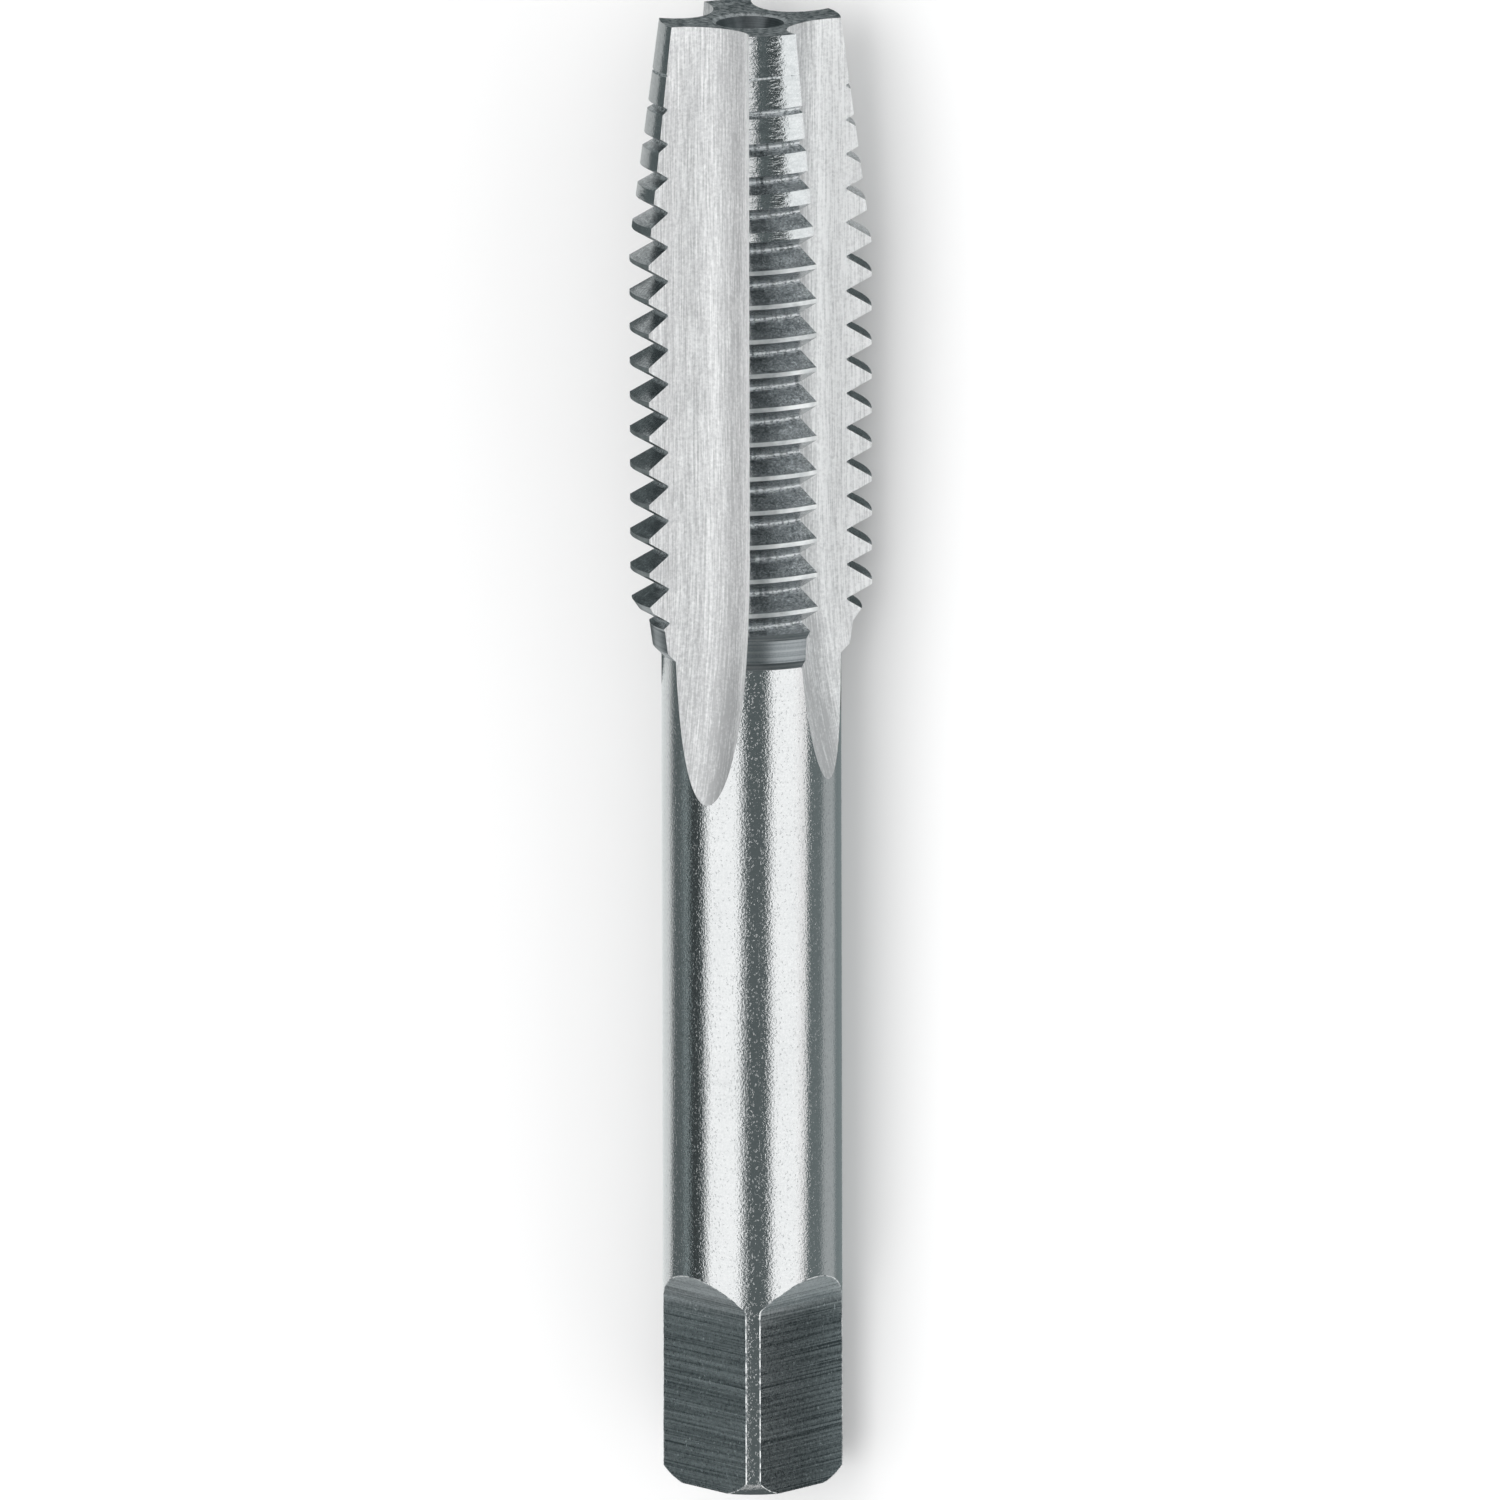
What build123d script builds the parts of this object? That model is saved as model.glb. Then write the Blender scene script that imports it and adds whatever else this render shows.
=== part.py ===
from build123d import *

import os
from itertools import product
from math import acos, atan2, cos, degrees, radians, sin, sqrt, tan

os.makedirs("parts", exist_ok=True)

# A machine-ground hand tap for an M12 x 1.75 thread: four straight flutes, a taper lead, a
# reduced shank and a driving square, all one bar of high-speed steel. Millimetres.

# Bar
overall_length = 75.0
shank_diameter = 9.0
end_chamfer = 0.7
end_crown_radius = 3.0      # the chamfer on the square end is turned slightly convex

# Thread
major_diameter = 12.1
pitch = 1.75
flank_angle = 30.0
thread_length = 29.9
groove_length = 31.15       # tip to the far end of the groove, measured in the first flute

# Taper lead
lead_length = 11.5
lead_angle = 7.5

# Behind the thread: a steep shoulder, a faintly tapered neck and a chamfer down to the shank
shoulder_length = 1.3
neck_length = 0.75
neck_over_root = 0.25       # how far the top of the neck stands above the root of the thread
neck_drop = 0.2             # how far the neck's radius falls along its length
neck_chamfer_length = 0.45

# Flutes
flute_count = 4
land_angle = 33.6
rake_angle = 8.0
core_diameter = 5.0
flute_full_length = 26.2
wheel_radius = 45.0

# Driving square
square_across = 6.85       # a nominal 7 mm square, at the low end of its tolerance
square_length = 9.6
square_wall_angle = 35.6
square_blend = 0.3
square_turn = -16.0         # the first flat, measured round from the middle of a flute

# Centre holes for grinding between centres, one in each end
centre_rim_diameter = 3.55
centre_pilot_diameter = 1.6
centre_depth = 3.4
centre_angle = 60.0
tip_dish = 0.15

# How far a cutting tool reaches past the metal
overrun = 2.0

shank_radius = shank_diameter / 2
major_radius = major_diameter / 2
core_radius = core_diameter / 2
centre_rim_radius = centre_rim_diameter / 2


def from_tip(distance):
    """Height above the square end of a place given by its distance behind the tip."""
    return overall_length - distance


# Thread: a blunt vee on a right-hand helix, with flats of about an eighth of the pitch
crest_flat = pitch / 8
root_flat = pitch / 9
flare = tan(radians(flank_angle))
thread_depth = (pitch - crest_flat - root_flat) / 2 / flare
root_radius = major_radius - thread_depth

# Only the lands carry thread, so the groove is one short helical cut for each land it crosses,
# a little longer than the land is wide, with both its ends in the open flutes
land_crossing = 60.0
vee_clearance = crest_flat / 4
vee_top_radius = major_radius + vee_clearance / flare
vee_top_half = (pitch - crest_flat) / 2 + vee_clearance
with BuildPart() as land_groove:
    with BuildLine() as groove_path:
        Helix(pitch, pitch * land_crossing / 360, root_radius)
    with BuildSketch(-Plane.XZ):
        with BuildLine():
            Polyline(
                (root_radius, -root_flat / 2),
                (root_radius, root_flat / 2),
                (vee_top_radius, vee_top_half),
                (vee_top_radius, -vee_top_half),
                close=True,
            )
        make_face()
    sweep(path=groove_path.line, is_frenet=True)

groove_start = from_tip(groove_length)
first_crossing = (360 / flute_count - land_crossing) / 2
land_crossings = []
for step in range(int(groove_length / pitch * flute_count) + 2):
    azimuth = first_crossing + 360 / flute_count * step
    land_crossings.append(Location((0, 0, groove_start + pitch * azimuth / 360), (0, 0, azimuth)))

# Flute: a hooked cutting face and the radial wall behind the heel of the next land, joined by
# the round gullet that touches both walls and the core. The flute's middle lies on X.
half_gap = (360 / flute_count - land_angle) / 2
cutting_edge = Vector(major_radius, 0).rotate(Axis.Z, -half_gap)
heel_edge = Vector(major_radius, 0).rotate(Axis.Z, half_gap)
face_outward = Vector(1, 0).rotate(Axis.Z, rake_angle - half_gap)
wall_outward = heel_edge.normalized()
past_axis = major_radius * sin(radians(rake_angle)) / sin(radians(2 * half_gap - rake_angle))
wedge_tip = wall_outward * -past_axis
wedge_middle = Vector(1, 0).rotate(Axis.Z, rake_angle / 2)
wedge_sine = sin(radians(half_gap - rake_angle / 2))
nearness = wedge_tip.dot(wedge_middle) - core_radius * wedge_sine
shortfall = core_radius**2 - past_axis**2
gullet_reach = (sqrt(nearness**2 + (1 - wedge_sine**2) * shortfall) - nearness) / (1 - wedge_sine**2)
gullet_radius = gullet_reach * wedge_sine
gullet_centre = wedge_tip + wedge_middle * gullet_reach
with BuildSketch(Plane.XY.offset(from_tip(flute_full_length))) as flute_section:
    with BuildLine():
        Polyline(
            cutting_edge + face_outward * overrun,
            wedge_tip,
            heel_edge + wall_outward * overrun,
            close=True,
        )
    make_face()
    fillet(flute_section.vertices().sort_by(Axis.X)[0], gullet_radius)

# The grinding wheel runs straight in from the tip, then lifts out along its own rim
wheel_side = gullet_centre.normalized()
wheel_axis = Axis(
    wheel_side * (core_radius + wheel_radius) + Vector(0, 0, from_tip(flute_full_length)),
    wheel_side.rotate(Axis.Z, -90),
)
lift_angle = degrees(acos(1 - (shank_radius + overrun - core_radius) / wheel_radius))
with BuildPart() as flute_cut:
    extrude(flute_section.sketch, amount=flute_full_length + overrun)
    revolve(flute_section.sketch, axis=wheel_axis, revolution_arc=lift_angle)

# Square: one milled flat, with the sloping wall that the cutter leaves where the flat ends
flat_offset = square_across / 2
wall_rise = shank_radius + overrun - flat_offset
wall_run = wall_rise / tan(radians(square_wall_angle))
with BuildPart() as square_cut:
    with BuildSketch(Plane.XZ) as square_outline:
        with BuildLine():
            Polyline(
                (flat_offset, -overrun),
                (flat_offset + wall_rise, -overrun),
                (flat_offset + wall_rise, square_length + wall_run),
                (flat_offset, square_length),
                close=True,
            )
        make_face()
        fillet(square_outline.vertices().group_by(Axis.X)[0].sort_by(Axis.Y)[-1], square_blend)
    extrude(amount=shank_radius, both=True)

# The tap upright on its square end: turned blank, flutes, square, centre holes and thread
neck_radius = root_radius + neck_over_root
shoulder_foot = thread_length + shoulder_length
neck_foot = shoulder_foot + neck_length
tip_radius = major_radius - lead_length * tan(radians(lead_angle))
with BuildPart() as upright:
    with BuildSketch(Plane.XZ):
        with BuildLine():
            Polyline(
                (shank_radius, end_chamfer),
                (shank_radius, from_tip(neck_foot + neck_chamfer_length)),
                (neck_radius - neck_drop, from_tip(neck_foot)),
                (neck_radius, from_tip(shoulder_foot)),
                (major_radius, from_tip(thread_length)),
                (major_radius, from_tip(lead_length)),
                (tip_radius, overall_length),
                (centre_rim_radius, from_tip(tip_dish)),
                (0, from_tip(tip_dish)),
                (0, 0),
                (shank_radius - end_chamfer, 0),
            )
            RadiusArc(
                (shank_radius, end_chamfer), (shank_radius - end_chamfer, 0), end_crown_radius
            )
        make_face()
    revolve(axis=Axis.Z)
    with PolarLocations(0, flute_count):
        add(flute_cut.part, mode=Mode.SUBTRACT)
    with PolarLocations(0, 4, start_angle=square_turn):
        add(square_cut.part, mode=Mode.SUBTRACT)
    with Locations(Plane((0, 0, from_tip(tip_dish))), -Plane.XY):
        CounterSinkHole(centre_pilot_diameter / 2, centre_rim_radius, centre_depth, centre_angle)
    with Locations(*land_crossings):
        add(land_groove.part, mode=Mode.SUBTRACT)

# At rest the tap lies over a flute, which faces along X: on the edge of a land at the back of
# the thread, and on the shank where a square flat runs out. Of all lines over one corner behind
# the balance point and one ahead of it, it rests on the one that lies farthest from the axis.
flat_wall_height = shank_radius * cos(radians(square_turn)) - flat_offset
shank_touch = square_length + flat_wall_height / tan(radians(square_wall_angle))
corners = [Vector(*corner) for corner in upright.vertices()] + [Vector(shank_radius, 0, shank_touch)]
balance = upright.part.center(CenterOf.MASS).Z


def seat_depth(pair):
    """Distance from the axis, at the balance point, of the line over a rear and a front corner."""
    rear, front = pair
    return rear.X + (front.X - rear.X) * (balance - rear.Z) / (front.Z - rear.Z)


rear_corners = [corner for corner in corners if corner.Z < balance]
front_corners = [corner for corner in corners if corner.Z > balance]
rear, front = max(product(rear_corners, front_corners), key=seat_depth)
nose_up = atan2(front.X - rear.X, front.Z - rear.Z)
resting_plane = Plane(
    origin=(
        0,
        -overall_length / 2 * cos(nose_up),
        rear.X * cos(nose_up) - rear.Z * sin(nose_up),
    ),
    x_dir=(0, sin(nose_up), -cos(nose_up)),
    z_dir=(0, cos(nose_up), sin(nose_up)),
)
with BuildPart(resting_plane) as thread_tap:
    add(upright.part)

thread_tap.part.label = "thread_tap"
export_step(thread_tap.part, "parts/thread_tap.step")
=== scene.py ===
from math import cos, pi, radians, sin, tan

import bmesh
import bpy
from mathutils import Matrix, Vector


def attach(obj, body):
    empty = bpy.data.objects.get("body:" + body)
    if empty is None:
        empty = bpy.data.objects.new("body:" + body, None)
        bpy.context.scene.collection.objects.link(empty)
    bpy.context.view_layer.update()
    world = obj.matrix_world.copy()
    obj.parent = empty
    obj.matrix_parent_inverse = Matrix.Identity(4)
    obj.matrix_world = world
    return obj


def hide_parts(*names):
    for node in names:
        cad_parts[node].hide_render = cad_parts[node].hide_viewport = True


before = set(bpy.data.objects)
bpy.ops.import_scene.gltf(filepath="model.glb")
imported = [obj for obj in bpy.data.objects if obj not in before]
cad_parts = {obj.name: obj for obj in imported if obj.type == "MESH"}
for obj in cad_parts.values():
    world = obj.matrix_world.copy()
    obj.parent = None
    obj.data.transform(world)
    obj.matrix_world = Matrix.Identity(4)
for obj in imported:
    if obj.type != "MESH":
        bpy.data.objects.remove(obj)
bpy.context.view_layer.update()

# ---------------------------------------------------------------- turned blank
# One bar of high-speed steel, turned and then ground: the shank, a turned band with a low
# collar behind the thread, the body that carries the thread, and the taper lead at the tip.
# It is drawn upright on its square end, in millimetres, and laid down when it is finished.

bar_facets = 240
length = 75.0
shank_radius = 4.5
shank_top = 42.6
collar_foot, collar_foot_radius = 43.05, 4.942
collar_top, collar_top_radius = 44.2, 5.10
body_foot = 45.55
major_radius = 6.05
lead_foot = 63.5
tip_radius = 4.536
tip_dish = 0.15

# Where the tap lies: the tip a little up, over a flute, the square end at -Y
nose_up = radians(1.366729)
square_end_y = -37.4893
square_end_z = 4.23974
laid_down = Matrix(
    (
        (0.0, -1.0, 0.0, 0.0),
        (sin(nose_up), 0.0, cos(nose_up), square_end_y),
        (-cos(nose_up), 0.0, sin(nose_up), square_end_z),
        (0.0, 0.0, 0.0, 1.0),
    )
)
millimetre = 0.001


def pick_faces(chosen):
    """In edit mode, selects just the faces for which chosen(middle, normal) is true."""
    shape = bmesh.from_edit_mesh(bpy.context.object.data)
    bpy.ops.mesh.select_all(action="DESELECT")
    for face in shape.faces:
        face.select_set(chosen(face.calc_center_median(), face.normal))
    bmesh.update_edit_mesh(bpy.context.object.data)


def pick_points(chosen):
    """In edit mode, selects just the vertices for which chosen(place) is true."""
    shape = bmesh.from_edit_mesh(bpy.context.object.data)
    bpy.ops.mesh.select_all(action="DESELECT")
    for point in shape.verts:
        point.select_set(chosen(point.co))
    shape.select_flush(True)
    bmesh.update_edit_mesh(bpy.context.object.data)


def turned(name, rings):
    """A solid of revolution about Z, drawn out of a disc ring by ring: (height, radius) pairs."""
    bpy.ops.object.select_all(action="DESELECT")
    height, radius = rings[0]
    bpy.ops.mesh.primitive_circle_add(
        vertices=bar_facets, radius=radius, fill_type="NGON", location=(0, 0, height)
    )
    bpy.ops.object.transform_apply(location=True)
    bpy.context.object.name = name
    bpy.ops.object.mode_set(mode="EDIT")
    bpy.ops.mesh.select_mode(type="FACE")
    bpy.ops.mesh.select_all(action="SELECT")
    for next_height, next_radius in rings[1:]:
        bpy.ops.mesh.extrude_region_move(
            TRANSFORM_OT_translate={"value": (0, 0, next_height - height)}
        )
        grown = next_radius / radius
        bpy.ops.transform.resize(value=(grown, grown, 1), center_override=(0, 0, next_height))
        height, radius = next_height, next_radius
    bpy.ops.mesh.select_all(action="SELECT")
    bpy.ops.mesh.normals_make_consistent(inside=False)
    bpy.ops.object.mode_set(mode="OBJECT")
    return bpy.context.object


# The chamfer on the square end is turned slightly convex, with a 3 mm crown
crown_radius = 3.0
crown_middle_height, crown_middle_radius = 2.44225, 2.05775
crown_start, crown_sweep = -54.497, 18.994
crown_steps = 6
crown = []
for step in range(crown_steps + 1):
    swing = radians(crown_start + crown_sweep * step / crown_steps)
    height = crown_middle_height + crown_radius * sin(swing)
    crown.append((height, crown_middle_radius + crown_radius * cos(swing)))

rim_radius = 1.775
blank = turned(
    "thread_tap_ground",
    [
        *crown,
        (shank_top, shank_radius),
        (collar_foot, collar_foot_radius),
        (collar_top, collar_top_radius),
        (body_foot, major_radius),
        (lead_foot, major_radius),
        (length, tip_radius),
        (length - tip_dish, rim_radius),
    ],
)


class Signal:
    """A shader value. Arithmetic on it adds Math nodes to its tree."""

    def __init__(self, socket):
        self.socket = socket

    def node(self, kind, settings, inputs, output=0):
        """Adds any other node, with its settings first and then its inputs, by name or number."""
        tree = self.socket.id_data
        made = tree.nodes.new(kind)
        for name, value in settings.items():
            setattr(made, name, value)
        for name, value in inputs.items():
            if isinstance(value, Signal):
                tree.links.new(value.socket, made.inputs[name])
            else:
                made.inputs[name].default_value = value
        return Signal(made.outputs[output])

    def math(self, operation, *others):
        numbers = dict(enumerate((self, *others)))
        return self.node("ShaderNodeMath", {"operation": operation}, numbers)

    def __add__(self, other):
        return self.math("ADD", other)

    def __sub__(self, other):
        return self.math("SUBTRACT", other)

    def __mul__(self, other):
        return self.math("MULTIPLY", other)

    def __pow__(self, other):
        return self.math("POWER", other)

    __radd__ = __add__
    __rmul__ = __mul__

    def __rsub__(self, other):
        return self.node("ShaderNodeMath", {"operation": "SUBTRACT"}, {0: other, 1: self})

    def within(self, low, high):
        """Runs from 0 at low to 1 at high, smoothly, and stays there."""
        limits = {"Value": self, "From Min": low, "From Max": high}
        return self.node("ShaderNodeMapRange", {"interpolation_type": "SMOOTHSTEP"}, limits)


class Finish:
    """A metal finish: its shader, and the tap's own upright coordinates in millimetres."""

    def __init__(self, name):
        self.material = bpy.data.materials.new(name)
        self.material.use_nodes = True
        tree = self.material.node_tree
        self.shader = next(node for node in tree.nodes if node.type == "BSDF_PRINCIPLED")
        self.shader.inputs["Metallic"].default_value = 1.0
        on_piece = Signal(tree.nodes.new("ShaderNodeTexCoord").outputs["Object"])
        lie = {
            "Vector": on_piece,
            "Location": laid_down.to_translation() * millimetre,
            "Rotation": laid_down.to_euler(),
            "Scale": (millimetre, millimetre, millimetre),
        }
        self.place = on_piece.node("ShaderNodeMapping", {"vector_type": "TEXTURE"}, lie)
        axes = [self.place.node("ShaderNodeSeparateXYZ", {}, {0: self.place}, i) for i in range(3)]
        self.x, self.y, self.height = axes
        self.radius = (self.x * self.x + self.y * self.y) ** 0.5
        self.turn = self.y.math("ARCTAN2", self.x) * (180 / pi)

    def stretched(self, x, y, z):
        """The coordinates with each axis scaled, for patterns drawn out one way."""
        return self.place.node("ShaderNodeMapping", {}, {"Vector": self.place, "Scale": (x, y, z)})

    def wrapped(self, round_scale, along_scale):
        """Coordinates that follow the bar's surface, so a pattern is drawn out round or along it."""
        round_shank = self.turn * (round_scale * radians(1) * shank_radius)
        parts = {0: round_shank, 1: self.height * along_scale, 2: self.radius}
        return self.place.node("ShaderNodeCombineXYZ", {}, parts)

    def noise(self, vector, scale, detail=2.0, roughness=0.5):
        """Soft noise from 0 to 1 about 0.5."""
        knobs = {"Vector": vector, "Scale": scale, "Detail": detail, "Roughness": roughness}
        return self.place.node("ShaderNodeTexNoise", {}, knobs)

    def feed(self, colour, roughness, relief, depth):
        """Links the colour and the roughness, and bumps from the relief, deep in millimetres."""
        tree = self.material.node_tree
        tree.links.new(colour.socket, self.shader.inputs["Base Color"])
        tree.links.new(roughness.socket, self.shader.inputs["Roughness"])
        bumps = {"Height": relief, "Strength": 1.0, "Distance": depth * millimetre}
        bump = relief.node("ShaderNodeBump", {}, bumps)
        tree.links.new(bump.socket, self.shader.inputs["Normal"])

    def shade(self, level, dark, light):
        """A colour between two, where level runs from 0 to 1."""
        factor, colour_a, colour_b, colour_result = 0, 6, 7, 2
        mixer = {factor: level, colour_a: (*dark, 1.0), colour_b: (*light, 1.0)}
        kind = {"data_type": "RGBA", "clamp_factor": True}
        return level.node("ShaderNodeMix", kind, mixer, colour_result)


def ground_shank():
    """Cylindrical grinding: a fine sparkling grain with faint rings round the bar."""
    finish = Finish("ground_shank")
    grain = finish.noise(finish.place, 9.0, 2.0, 0.6)
    rings = finish.noise(finish.wrapped(0.5, 7.0), 1.0, 3.0, 0.6)
    cloud = finish.noise(finish.stretched(0.5, 0.5, 0.2), 1.0, 2.0, 0.5)
    pits = finish.noise(finish.place, 7.5, 1.0, 0.5).within(0.62, 0.72)
    level = grain * 1.3 + rings * 0.6 + cloud * 0.5 - 0.65 - pits * 0.3
    colour = finish.shade(level, (0.56, 0.565, 0.57), (0.69, 0.69, 0.69))
    relief = grain * 1.05 + rings * 0.25 - pits * 0.4
    finish.feed(colour, grain * 0.05 + cloud * 0.03 + 0.035, relief, 0.012)
    return finish.material


def turned_band():
    """Turned before hardening and left so: rings from the lathe tool, a little duller, and a thin
    dark line of painted shade where the neck groove sits.
    """
    finish = Finish("turned_band")
    rings = finish.noise(finish.wrapped(0.05, 14.0), 1.0, 2.0, 0.5)
    grain = finish.noise(finish.place, 12.0, 2.0, 0.6)
    # Painted shade: a thin dark line where a groove at the neck would be, though no groove is cut in
    # the shape.
    neck_groove_shade = (finish.height - (collar_foot - 0.09)).math("ABSOLUTE").within(0.03, 0.07)
    level = rings * 1.4 + grain * 0.4 - 0.5
    colour = finish.shade(level * neck_groove_shade, (0.15, 0.17, 0.18), (0.48, 0.50, 0.51))
    finish.feed(colour, grain * 0.1 + 0.26, rings, 0.014)
    return finish.material


def ground_crest():
    """The ground body and taper lead, which make the crests of the thread: lines round them."""
    finish = Finish("ground_crest")
    lines = finish.noise(finish.wrapped(1.9, 4.8), 1.0, 3.0, 0.6)
    grain = finish.noise(finish.place, 10.0, 2.0, 0.6)
    worn = 1 - finish.height.within(lead_foot - 0.7, lead_foot + 1.5)
    rubs = finish.noise(finish.place, 0.9, 2.0, 0.6) - 0.5
    level = lines * 0.6 + grain * 0.5 - 0.05 + worn * (rubs * 2.2 + 0.15)
    colour = finish.shade(level, (0.36, 0.38, 0.39), (0.76, 0.77, 0.77))
    finish.feed(colour, grain * 0.08 + worn * 0.28 + 0.06, lines * 0.9 + grain * 0.3, 0.022)
    return finish.material


def end_face():
    """The faced ends, rough from the parting tool and never ground."""
    finish = Finish("end_face")
    grain = finish.noise(finish.place, 3.5, 4.0, 0.7)
    rings = finish.noise(finish.wrapped(0.05, 0.5), 1.0, 2.0, 0.5)
    scratch = finish.noise(finish.stretched(6.0, 1.2, 1.0), 1.0, 2.0, 0.5).within(0.60, 0.68)
    rim = 1 - finish.radius.within(rim_radius + 0.045, rim_radius + 0.175)
    level = grain * 2.8 + rings * 0.2 - 1.20 + scratch * 0.7 + rim * 0.5
    colour = finish.shade(level, (0.08, 0.095, 0.10), (0.62, 0.64, 0.65))
    finish.shader.inputs["Metallic"].default_value = 0.8
    finish.feed(colour, grain * 0.2 + 0.42, grain + scratch * 0.3, 0.07)
    return finish.material


surfaces = [
    (ground_shank(), lambda middle, normal: True),
    (turned_band(), lambda middle, normal: shank_top < middle.z < body_foot),
    (ground_crest(), lambda middle, normal: middle.z > body_foot),
    (end_face(), lambda middle, normal: abs(normal.z) > 0.9),
]
bpy.ops.object.mode_set(mode="EDIT")
for slot, (surface, chosen) in enumerate(surfaces):
    blank.data.materials.append(surface)
    pick_faces(chosen)
    blank.active_material_index = slot
    bpy.ops.object.material_slot_assign()
bpy.ops.object.mode_set(mode="OBJECT")


# ---------------------------------------------------------------- flutes
# Four straight flutes, ground with a formed wheel: a hooked cutting face, a round gullet and a
# radial wall behind the next land. The wheel runs in from the tip and lifts out over the shank.

half_gap = radians(28.2)
rake = radians(8.0)
gullet_middle = Vector((4.93377, -0.117685, 0.0))
gullet_radius = 2.435172
core_radius = 2.5
wheel_radius = 45.0
wheel_lift = radians(24.34065)
flute_foot = 48.8
flute_past = 2.0
last_flute_short = 1.0


def ground_flute():
    """Long streaks from the wheel's grain, along the flute and round where the wheel lifts."""
    finish = Finish("ground_flute")

    # The wheel's path: how far into the wheel, how far across its rim, and which flute
    quarter = (finish.turn + 45) * (1 / 90)
    swing = (quarter.math("FRACT") - 0.5) * (pi / 2)
    from_axle = core_radius + wheel_radius - finish.radius * swing.math("COSINE")
    fall = (finish.height - flute_foot).math("MINIMUM", 0.0)
    into_wheel = (from_axle * from_axle + fall * fall) ** 0.5
    sideways = finish.radius * swing.math("SINE")
    across = sideways + quarter.math("FLOOR") * 3.7

    wheel_path = {0: into_wheel * 7.0, 1: across * 7.0, 2: finish.height * 0.09}
    streaks = finish.noise(finish.place.node("ShaderNodeCombineXYZ", {}, wheel_path), 1.0, 3.0, 0.7)
    fine_path = {0: into_wheel * 13, 1: across * 13, 2: finish.height * 0.6}
    fine = finish.noise(finish.place.node("ShaderNodeCombineXYZ", {}, fine_path), 1.0, 2.0, 0.6)
    grain = finish.noise(finish.place, 6.0, 3.0, 0.7)

    # The heel wall is painted lighter, a painted highlight, and the flute floor darker, painted
    # shade; the colour is also darker towards the run-out.
    heel_wall_highlight = sideways.within(1.1, 1.5)
    floor_shade = sideways.within(-0.9, -0.1) * (1 - sideways.within(0.8, 1.2))
    run_out = 1 - finish.height.within(39.0, 46.0)
    level = streaks * 1.2 + fine * 1.9 + grain * 1.5 - 1.83
    level = level + heel_wall_highlight * 0.30 - floor_shade * 0.2 - run_out * 0.22
    colour = finish.shade(level, (0.56, 0.56, 0.565), (0.97, 0.97, 0.97))
    finish.shader.inputs["Metallic"].default_value = 0.75
    finish.feed(colour, fine * 0.12 + 0.54, streaks * 0.35 + fine * 0.4 + grain * 0.25, 0.014)
    return finish.material


bpy.ops.object.select_all(action="DESELECT")
bpy.ops.mesh.primitive_plane_add(size=1.0, location=(0, 0, flute_foot))
bpy.ops.object.transform_apply(location=True)
flute = bpy.context.object
flute.name = "flute_cut"
bpy.ops.object.mode_set(mode="EDIT")
bpy.ops.mesh.select_mode(type="VERT")

# The section is drawn from the heel edge, down the radial wall and round the gullet
wall_way = Vector((cos(half_gap), sin(half_gap), 0.0))
face_way = Vector((cos(rake - half_gap), sin(rake - half_gap), 0.0))
wall_touch = gullet_middle + gullet_radius * Vector((-wall_way.y, wall_way.x, 0.0))
face_touch = gullet_middle + gullet_radius * Vector((face_way.y, -face_way.x, 0.0))
heel_edge = major_radius * wall_way
cutting_edge = major_radius * Vector((cos(half_gap), -sin(half_gap), 0.0))
pick_points(lambda place: place.x < 0 or place.y < 0)
bpy.ops.mesh.delete(type="VERT")
bpy.ops.mesh.select_all(action="SELECT")
start = heel_edge + flute_past * wall_way
plane_corner = Vector((0.5, 0.5, 0.0))
bpy.ops.transform.translate(value=start - plane_corner)
bpy.ops.mesh.extrude_region_move(TRANSFORM_OT_translate={"value": wall_touch - start})
bpy.ops.mesh.spin(
    steps=44,
    angle=radians(180) - (2 * half_gap - rake),
    center=gullet_middle + Vector((0, 0, flute_foot)),
    axis=(0, 0, -1),
)
bpy.ops.mesh.extrude_region_move(
    TRANSFORM_OT_translate={"value": cutting_edge + flute_past * face_way - face_touch}
)
bpy.ops.mesh.select_all(action="SELECT")
bpy.ops.mesh.edge_face_add()

# Drawn out to the tip, and swung out about the wheel's axle behind
bpy.ops.mesh.select_mode(type="FACE")
bpy.ops.mesh.select_all(action="SELECT")
bpy.ops.mesh.extrude_region_move(
    TRANSFORM_OT_translate={"value": (0, 0, length + flute_past - flute_foot)}
)
pick_faces(lambda middle, normal: middle.z < flute_foot + 0.01)
wheel_side = gullet_middle.normalized()
bpy.ops.mesh.spin(
    steps=40,
    angle=wheel_lift,
    center=wheel_side * (core_radius + wheel_radius) + Vector((0, 0, flute_foot)),
    axis=(-wheel_side.y, wheel_side.x, 0),
)
bpy.ops.mesh.select_all(action="SELECT")
bpy.ops.mesh.remove_doubles(threshold=0.0001)
bpy.ops.mesh.normals_make_consistent(inside=False)
bpy.ops.object.mode_set(mode="OBJECT")
flute.data.materials.append(ground_flute())


def turned_copies(cutter, count, first):
    """Puts the cutter and its copies, each with its own mesh, evenly round the bar."""
    copies = []
    for step in range(count):
        bpy.ops.object.select_all(action="DESELECT")
        cutter.select_set(True)
        bpy.context.view_layer.objects.active = cutter
        bpy.ops.object.duplicate()
        copy = bpy.context.object
        copy.rotation_euler = (0, 0, first + 2 * pi * step / count)
        bpy.ops.object.transform_apply(rotation=True)
        copies.append(copy)
    bpy.data.objects.remove(cutter)
    return copies


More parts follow.
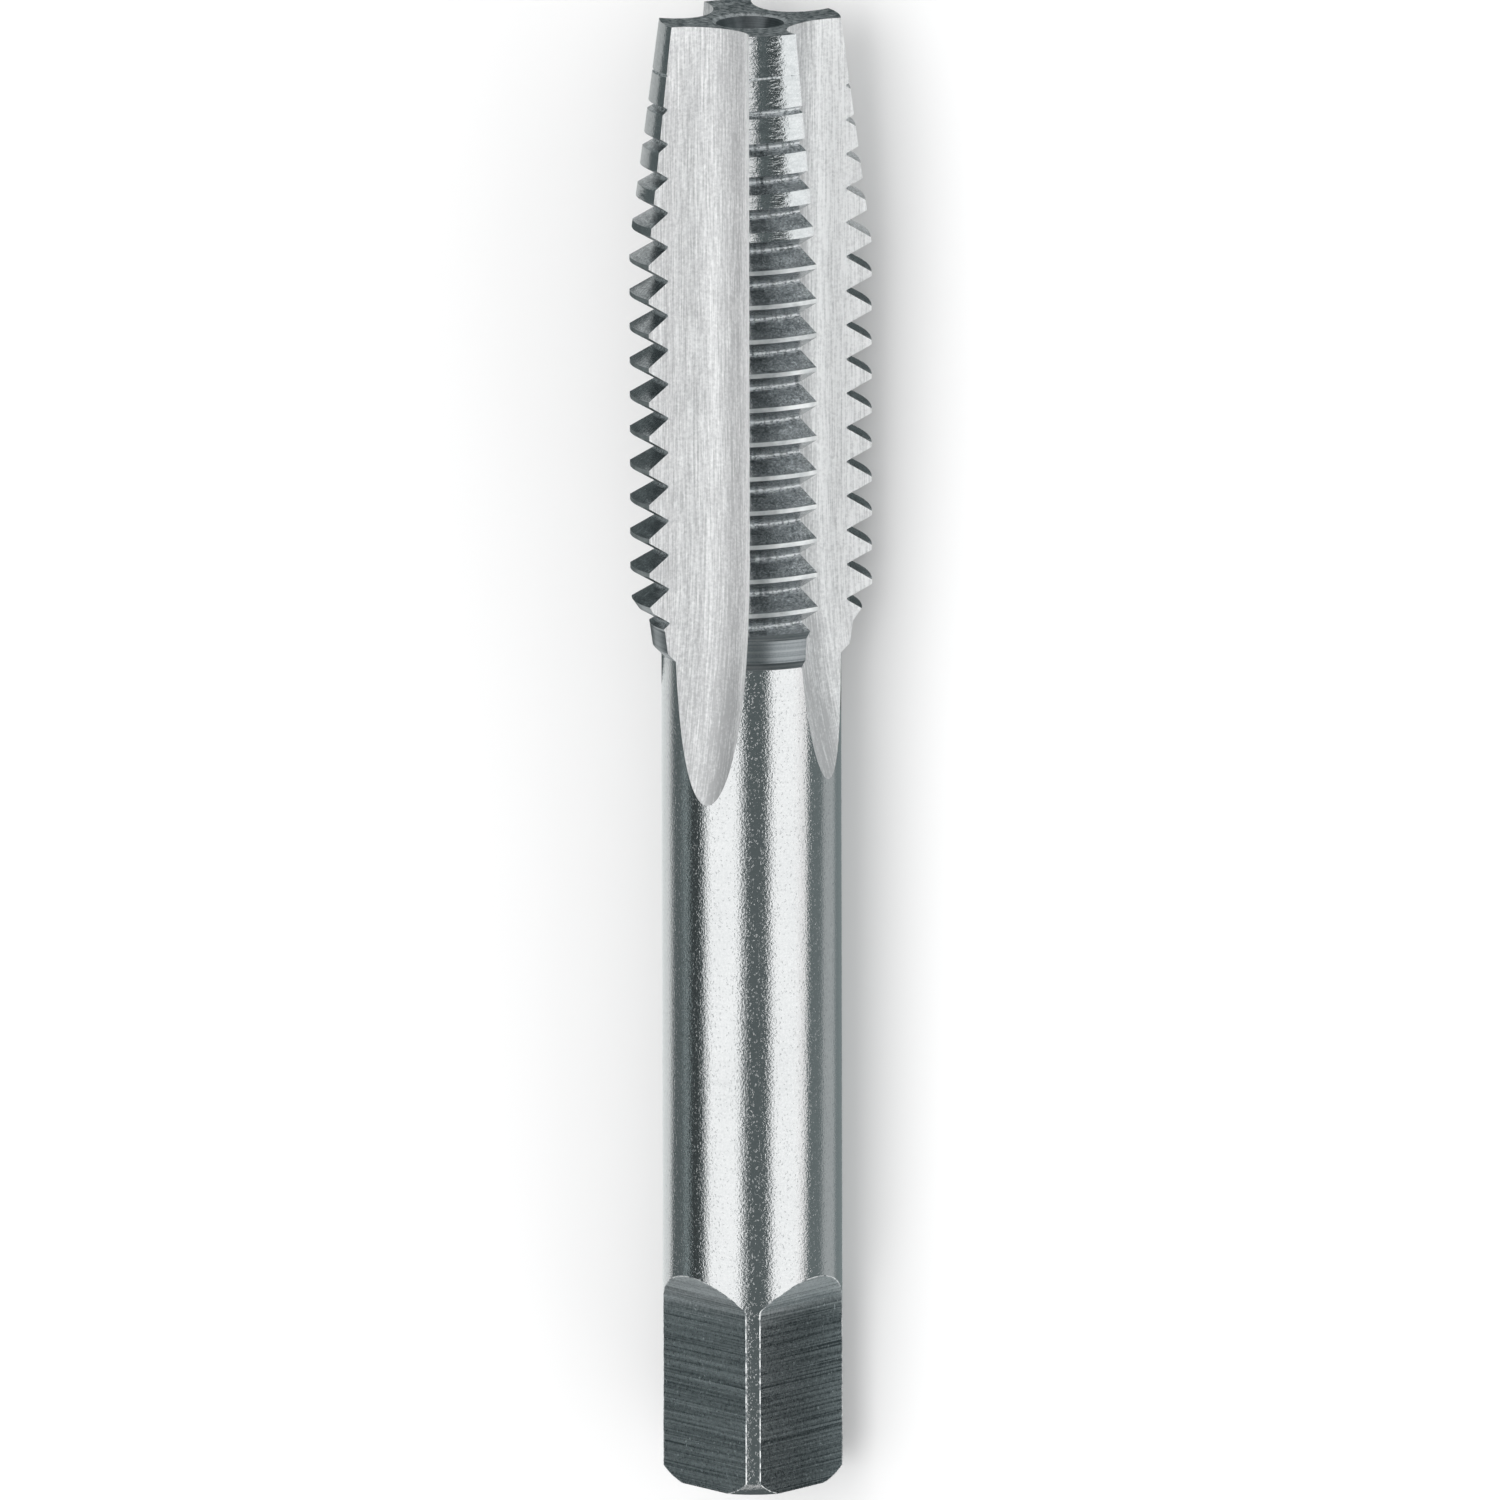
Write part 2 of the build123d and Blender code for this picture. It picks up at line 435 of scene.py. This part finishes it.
def cut(body, cutter):
    """Cuts one shape out of another. The cut surface keeps the cutter's finish."""
    bpy.ops.object.select_all(action="DESELECT")
    body.select_set(True)
    bpy.context.view_layer.objects.active = body
    knife = body.modifiers.new("cut", "BOOLEAN")
    knife.operation = "DIFFERENCE"
    knife.solver = "EXACT"
    knife.material_mode = "TRANSFER"
    knife.object = cutter
    bpy.ops.object.modifier_apply(modifier=knife.name)
    bpy.data.objects.remove(cutter)


# The last flute was stopped a millimetre short of the others
flutes = turned_copies(flute, 4, 0.0)
flutes[3].location.z = last_flute_short
for copy in flutes:
    cut(blank, copy)


# ---------------------------------------------------------------- driving square
# Four flats milled on the end of the shank for the wrench. Each stops in a sloping wall where
# the cutter lifted, with a small blend between the flat and the wall.

flat_offset = 3.425
flat_length = 9.6
wall_angle = radians(35.6)
wall_blend = 0.3
wall_rise = 3.075
flat_past = 2.0
first_flat = radians(-16.0)
edge_break = 0.028


def milled_flat():
    """Cutter marks straight across the flat, with a few deep ones, bright specks and a paler wall."""
    finish = Finish("milled_flat")
    marks = finish.noise(finish.stretched(0.09, 0.09, 12.0), 1.0, 3.0, 0.7)
    deep_marks = finish.noise(finish.stretched(0.08, 0.08, 6.0), 1.0, 1.0, 0.5).within(0.26, 0.40)
    grain = finish.noise(finish.place, 8.0, 3.0, 0.7)
    specks = finish.noise(finish.place, 4.2, 2.0, 0.5).within(0.66, 0.74)
    wall = finish.height.within(flat_length - 1.0, flat_length + 0.8)
    level = marks * 1.9 + grain * 1.2 - 1.20 - (1 - deep_marks) * 0.3 + wall * 0.45
    colour = finish.shade(level + specks * 0.8, (0.15, 0.17, 0.18), (0.90, 0.92, 0.93))
    finish.feed(colour, grain * 0.12 + wall * 0.25 + 0.22, marks * 0.7 + grain * 0.4, 0.016)
    return finish.material


bpy.ops.object.select_all(action="DESELECT")
deep = flat_length + flat_past
bpy.ops.mesh.primitive_cube_add(
    size=1.0,
    location=(flat_offset + wall_rise / 2, 0, deep / 2 - flat_past),
    scale=(wall_rise, 2 * shank_radius, deep),
)
bpy.ops.object.transform_apply(location=True, scale=True)
flat = bpy.context.object
flat.name = "flat_cut"
bpy.ops.object.mode_set(mode="EDIT")
bpy.ops.mesh.select_mode(type="VERT")
pick_points(lambda place: place.z > 1 and place.x > flat_offset + 1)
bpy.ops.transform.translate(value=(0, 0, wall_rise / tan(wall_angle)))
bpy.ops.mesh.select_mode(type="EDGE")
pick_points(lambda place: place.z > 1 and place.x < flat_offset + 1)
bpy.ops.mesh.bevel(
    offset=wall_blend * tan(wall_angle / 2), offset_type="OFFSET", segments=9, affect="EDGES"
)
bpy.ops.mesh.select_all(action="SELECT")
bpy.ops.mesh.normals_make_consistent(inside=False)
bpy.ops.object.mode_set(mode="OBJECT")
flat.data.materials.append(milled_flat())
for copy in turned_copies(flat, 4, first_flat):
    cut(blank, copy)


def worn_edge():
    """Edges rubbed bright by the wrench and the chuck."""
    finish = Finish("worn_edge")
    grain = finish.noise(finish.place, 3.0, 3.0, 0.7)
    colour = finish.shade(grain.within(0.40, 0.58), (0.20, 0.22, 0.23), (0.92, 0.93, 0.93))
    finish.shader.inputs["Metallic"].default_value = 0.6
    finish.feed(colour, grain * 0.1 + 0.4, grain, 0.004)
    return finish.material


def break_edges(body, finishes, width, edge_slot):
    """Breaks the edges where two of the named finishes meet, with a narrow chamfer."""
    slots = [slot.material.name for slot in body.material_slots]
    bpy.ops.object.select_all(action="DESELECT")
    body.select_set(True)
    bpy.context.view_layer.objects.active = body
    bpy.ops.object.mode_set(mode="EDIT")
    bpy.ops.mesh.select_mode(type="EDGE")
    bpy.ops.mesh.select_all(action="SELECT")
    bpy.ops.mesh.remove_doubles(threshold=0.0005)
    bpy.ops.mesh.dissolve_degenerate(threshold=0.0005)
    bpy.ops.mesh.select_all(action="DESELECT")
    shape = bmesh.from_edit_mesh(body.data)
    for edge in shape.edges:
        beside = sorted(slots[face.material_index] for face in edge.link_faces)
        corner = edge.calc_face_angle(0.0) > radians(12)
        edge.select_set(corner and beside in finishes)
    bmesh.update_edit_mesh(body.data)
    bpy.ops.mesh.bevel(
        offset=width, offset_type="OFFSET", segments=1, affect="EDGES", material=edge_slot
    )
    bpy.ops.object.mode_set(mode="OBJECT")


blank.data.materials.append(worn_edge())
rubbed = len(blank.data.materials) - 1
flat_edges = [["ground_shank", "milled_flat"], ["milled_flat", "milled_flat"]]
break_edges(blank, flat_edges, edge_break, rubbed)


# ---------------------------------------------------------------- centre holes
# A 60 degree centre hole in each end, for turning and grinding between centres.

pilot_radius = 0.8
centre_depth = 3.4
drill_point = 0.4
drill_point_radius = 0.05
drill_past = 1.0
rim_break = 0.14


def centre_bore():
    """The cone of a centre drill, with rings round it."""
    finish = Finish("centre_bore")
    rings = finish.noise(finish.wrapped(0.1, 12.0), 1.0, 2.0, 0.5)
    grain = finish.noise(finish.place, 8.0, 2.0, 0.6)
    colour = finish.shade(rings * 0.8 + grain * 0.3, (0.05, 0.06, 0.065), (0.24, 0.26, 0.27))
    finish.feed(colour, grain * 0.15 + 0.25, rings, 0.008)
    return finish.material


bore_finish = centre_bore()
cone_foot = (rim_radius - pilot_radius) / tan(radians(30))
for end, way in ((0.0, 1), (length - tip_dish, -1)):
    steps = [
        (-drill_past, rim_radius),
        (0.0, rim_radius),
        (cone_foot, pilot_radius),
        (centre_depth, pilot_radius),
        (centre_depth + drill_point, drill_point_radius),
    ]
    bore = turned("centre_cut", [(end + way * step, radius) for step, radius in steps])
    bore.data.materials.append(bore_finish)
    cut(blank, bore)
faced = blank.data.materials.find("end_face")
break_edges(blank, [["centre_bore", "end_face"]], rim_break, faced)


# ---------------------------------------------------------------- cutting thread
# A blunt vee groove ground on a right-hand helix of 1.75 mm pitch. It fades out through the
# taper lead at the tip and into the shoulder of the body behind.

pitch = 1.75
root_radius = 4.80
root_half = 0.0439374
groove_top_radius = 6.144722
groove_top_half = 0.8203125
groove_start = 43.85
groove_turns = 18


def ground_flank():
    """Ground flanks: lines along the thread and small pits, with a rough root and a painted highlight
    of bright glints along it.
    """
    finish = Finish("ground_flank")
    lines = finish.noise(finish.wrapped(0.6, 6.0), 1.0, 2.0, 0.6)
    grain = finish.noise(finish.place, 8.0, 3.0, 0.7)
    pits = finish.noise(finish.place, 3.0, 3.0, 0.6).within(0.60, 0.72)
    root = 1 - finish.radius.within(root_radius + 0.05, root_radius + 0.15)
    # Painted highlight: beaded bright glints along the root of the thread.
    root_glint_highlight = finish.noise(finish.place, 6.0, 2.0, 0.6).within(0.44, 0.56)
    level = lines * 0.9 + grain * 2.3 - 1.20 + pits * 0.7 + root * root_glint_highlight * 1.6
    colour = finish.shade(level, (0.16, 0.18, 0.19), (0.78, 0.80, 0.81))
    finish.feed(colour, grain * 0.14 + root * 0.3 + 0.16, lines * 0.4 + grain * 0.6, 0.013)
    return finish.material


bpy.ops.object.select_all(action="DESELECT")
centre = (root_radius, 0, groove_start)
bpy.ops.mesh.primitive_plane_add(size=1.0, location=centre, rotation=(pi / 2, 0, 0))
bpy.ops.object.transform_apply(location=True, rotation=True)
groove = bpy.context.object
groove.name = "groove_cut"
bpy.ops.object.mode_set(mode="EDIT")
bpy.ops.mesh.select_mode(type="VERT")
wide = groove_top_radius - root_radius
bpy.ops.transform.resize(value=(wide, 1, 2 * groove_top_half), center_override=centre)
bpy.ops.transform.translate(value=(wide / 2, 0, 0))
pick_points(lambda place: place.x < root_radius + 0.01)
bpy.ops.transform.resize(value=(1, 1, root_half / groove_top_half), center_override=centre)
bpy.ops.mesh.select_all(action="SELECT")
bpy.ops.mesh.delete(type="ONLY_FACE")
bpy.ops.object.mode_set(mode="OBJECT")
coil = groove.modifiers.new("coil", "SCREW")
coil.axis = "Z"
coil.angle = 2 * pi
coil.screw_offset = pitch
coil.iterations = groove_turns
coil.steps = coil.render_steps = bar_facets
coil.use_smooth_shade = False
bpy.ops.object.modifier_apply(modifier=coil.name)
bpy.ops.object.mode_set(mode="EDIT")
bpy.ops.mesh.select_all(action="SELECT")
bpy.ops.mesh.fill_holes(sides=4)
bpy.ops.mesh.select_all(action="SELECT")
bpy.ops.mesh.normals_make_consistent(inside=False)
bpy.ops.object.mode_set(mode="OBJECT")
groove.data.materials.append(ground_flank())
cut(blank, groove)


# ---------------------------------------------------------------- the finished tap
# The ground tap laid down where it comes to rest: over one flute, on the two lands beside it
# and on the shank behind.

bpy.ops.object.select_all(action="DESELECT")
blank.select_set(True)
bpy.context.view_layer.objects.active = blank
bpy.ops.object.mode_set(mode="EDIT")
bpy.ops.mesh.select_all(action="SELECT")
bpy.ops.mesh.remove_doubles(threshold=0.0002)
bpy.ops.mesh.dissolve_degenerate(threshold=0.0002)
bpy.ops.object.mode_set(mode="OBJECT")
blank.matrix_world = Matrix.Scale(millimetre, 4) @ laid_down
bpy.ops.object.transform_apply(location=True, rotation=True, scale=True)
bpy.ops.object.shade_smooth_by_angle(angle=radians(6))
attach(blank, "root")
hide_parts("thread_tap")


# ---------------------------------------------------------------- table, light and camera
# A plain pale table under long soft boxes. Cards that only the metal's gloss shows stand and
# lie round the tap, as a studio has for bright steel, to give it dark and bright bands.

table_grey = 0.86
room_level = 0.66


def plain(name, colour, strength=None):
    """A matt surface, or a plainly glowing one where a strength is given."""
    material = bpy.data.materials.new(name)
    material.use_nodes = True
    shader = next(node for node in material.node_tree.nodes if node.type == "BSDF_PRINCIPLED")
    shader.inputs["Base Color"].default_value = (*colour, 1.0)
    shader.inputs["Roughness"].default_value = 0.9
    shader.inputs["Specular IOR Level"].default_value = 0.1
    if strength is not None:
        shader.inputs["Base Color"].default_value = (0.0, 0.0, 0.0, 1.0)
        shader.inputs["Specular IOR Level"].default_value = 0.0
        shader.inputs["Emission Color"].default_value = (*colour, 1.0)
        shader.inputs["Emission Strength"].default_value = strength
    return material


bpy.ops.object.select_all(action="DESELECT")
bpy.ops.mesh.primitive_plane_add(size=6.0, location=(0, 0, 0))
table = bpy.context.object
table.name = "table_top"
table.data.materials.append(plain("table_paper", (table_grey, table_grey, table_grey)))

world = bpy.data.worlds.new("studio_room")
bpy.context.scene.world = world
world.use_nodes = True
world.cycles.sampling_method = "NONE"
room = world.node_tree.nodes["Background"]
room.inputs["Color"].default_value = (1.0, 1.0, 1.0, 1.0)
room.inputs["Strength"].default_value = room_level

cool = (0.84, 1.0, 1.02)
pale = (0.96, 1.0, 1.0)
white = (1.0, 1.0, 1.0)
card_layer = 0.00001
card_height = 0.45
card_thickness = 0.001


def gloss_card(name, low, high, level, tint=cool, swung=0.0):
    """A card that shows in gloss alone and shades nothing: from corner to corner, then swung."""
    bpy.ops.object.select_all(action="DESELECT")
    bpy.ops.mesh.primitive_cube_add(
        size=1.0,
        location=(Vector(low) + Vector(high)) / 2,
        scale=Vector(high) - Vector(low),
    )
    bpy.ops.object.transform_apply(location=True, scale=True)
    card = bpy.context.object
    card.name = name
    card.rotation_euler = (0.0, swung, 0.0)
    card.data.materials.append(plain(name, tint, level))
    for sight in ("camera", "diffuse", "transmission", "volume_scatter", "shadow"):
        setattr(card, f"visible_{sight}", False)


def table_card(name, across, along_bar, layers, level, tint=cool):
    """A gloss card flat on the table. One with more layers covers one with fewer."""
    low = (across[0], along_bar[0], card_layer)
    high = (across[1], along_bar[1], card_layer * layers)
    gloss_card(name, low, high, level, tint)


def high_card(name, half_width, along_bar, from_vertical, level, tint=cool):
    """A gloss card above the tap, swung about it from the vertical towards +X."""
    low = (-half_width, along_bar[0], card_height - card_thickness)
    high = (half_width, along_bar[1], card_height)
    gloss_card(name, low, high, level, tint, radians(from_vertical))


gloss_card("tent", (-0.8, -1.2, -0.1), (0.8, 1.2, 0.9), 0.16)
table_card("far_card", (-0.75, -0.043), (-1.0, 1.0), 5, 0.16)

# Beside the shank the table shows brighter, and under it darker
shank_steps = [
    (-0.085, -0.040, 0.60),
    (-0.040, -0.026, 0.84),
    (-0.026, -0.018, 0.86),
    (-0.018, -0.004, 0.86),
]
for number, (far, near, level) in enumerate(shank_steps):
    table_card(f"shank_step_{number}", (far, near), (-0.0335, 0.0015), 6, level, pale)
table_card("under_card", (-0.004, 0.0058), (-0.029, 0.0015), 6, 0.26)
table_card("thread_card", (-0.043, 0.0105), (-0.002, 0.026), 4, 0.13)
table_card("lead_card", (-0.043, 0.0105), (0.026, 0.0375), 4, 0.56, pale)
table_card("tip_card", (-0.043, 0.0105), (0.0375, 0.08), 4, 0.26)
table_card("end_card", (-0.043, 0.05), (-0.12, -0.0355), 4, 0.14)
table_card("near_card", (0.0045, 0.0105), (-0.029, 0.06), 5, 0.5, (0.93, 1.0, 1.01))
gloss_card("side_card", (0.0105, -0.029, 0.0), (0.0110, 0.06, 0.0050), 0.22)
table_card("near_end_card", (0.0045, 0.0105), (-0.06, -0.029), 5, 0.25)
gloss_card("side_end_card", (0.0105, -0.06, 0.0), (0.0110, -0.029, 0.0050), 0.08)

# A light wall beyond each end, and strips above that draw narrow bands on the shank and lead
gloss_card("tip_end_light", (-0.5, 1.00, 0.25), (0.5, 1.01, 0.85), 0.7, white)
gloss_card("square_end_light", (-0.5, -1.01, 0.25), (0.5, -1.00, 0.85), 0.7, white)
high_card("thin_strip", 0.014, (-0.5, 0.5), -65.0, 0.60)
high_card("dark_strip", 0.070, (-0.5, 0.5), -50.0, 0.07)
high_card("lead_light", 0.071, (0.0, 0.2), 25.0, 1.2, white)
high_card("lead_dark", 0.063, (0.0, 0.2), 58.0, 0.10)

aim = Vector((0.0, 0.0, 0.006))


def soft_box(name, from_vertical, distance, width, tall, level):
    """A long soft box along the tap, at an angle from the vertical towards +X."""
    lamp = bpy.data.lights.new(name, "AREA")
    lamp.shape = "RECTANGLE"
    lamp.size, lamp.size_y = width, tall
    lamp.energy = level * width * tall * pi
    box = bpy.data.objects.new(name, lamp)
    bpy.context.scene.collection.objects.link(box)
    away = Vector((sin(from_vertical), 0.0, cos(from_vertical)))
    level_along = Vector((0.0, 1.0, 0.0))
    axes = Matrix((level_along.cross(away), level_along, away)).transposed()
    box.matrix_world = Matrix.LocRotScale(aim + distance * away, axes.to_quaternion(), None)
    box.visible_camera = False
    return box


soft_box("overhead_box", radians(-8.2), 0.50, 0.462, 0.90, 1.19)
soft_box("side_box", radians(72.0), 0.50, 0.36, 0.90, 1.18)
fill = soft_box("fill_box", radians(48.0), 0.70, 0.50, 0.90, 1.0)
fill.visible_glossy = False

# Image up runs along the tap to its tip, and the camera stands a little beyond the tip
beyond_tip = radians(13.0)
stand_off = 2.2
round_bar = radians(-151.1)
lean = radians(0.124)
right_of_bar = 0.000076
along = laid_down.to_3x3() @ Vector((0.0, 0.0, 1.0))
facing = laid_down.to_3x3() @ Vector((cos(round_bar), sin(round_bar), 0.0))
towards = cos(beyond_tip) * facing + sin(beyond_tip) * along
level_up = (along - along.dot(towards) * towards).normalized()
level_right = level_up.cross(towards)
picture_up = cos(lean) * level_up + sin(lean) * level_right
picture_right = picture_up.cross(towards)
middle_of_tap = millimetre * (laid_down @ Vector((0.0, 0.0, length / 2)))
middle = middle_of_tap - right_of_bar * picture_right
lens = bpy.data.cameras.new("camera")
lens.sensor_width = 36.0
lens.lens = 1054.0
lens.clip_start, lens.clip_end = 0.01, 20.0
camera = bpy.data.objects.new("camera", lens)
bpy.context.scene.collection.objects.link(camera)
axes = Matrix((picture_right, picture_up, towards)).transposed()
camera.matrix_world = Matrix.LocRotScale(middle + stand_off * towards, axes.to_quaternion(), None)
bpy.context.scene.camera = camera
bpy.context.scene.view_settings.view_transform = "Standard"

bpy.context.view_layer.update()
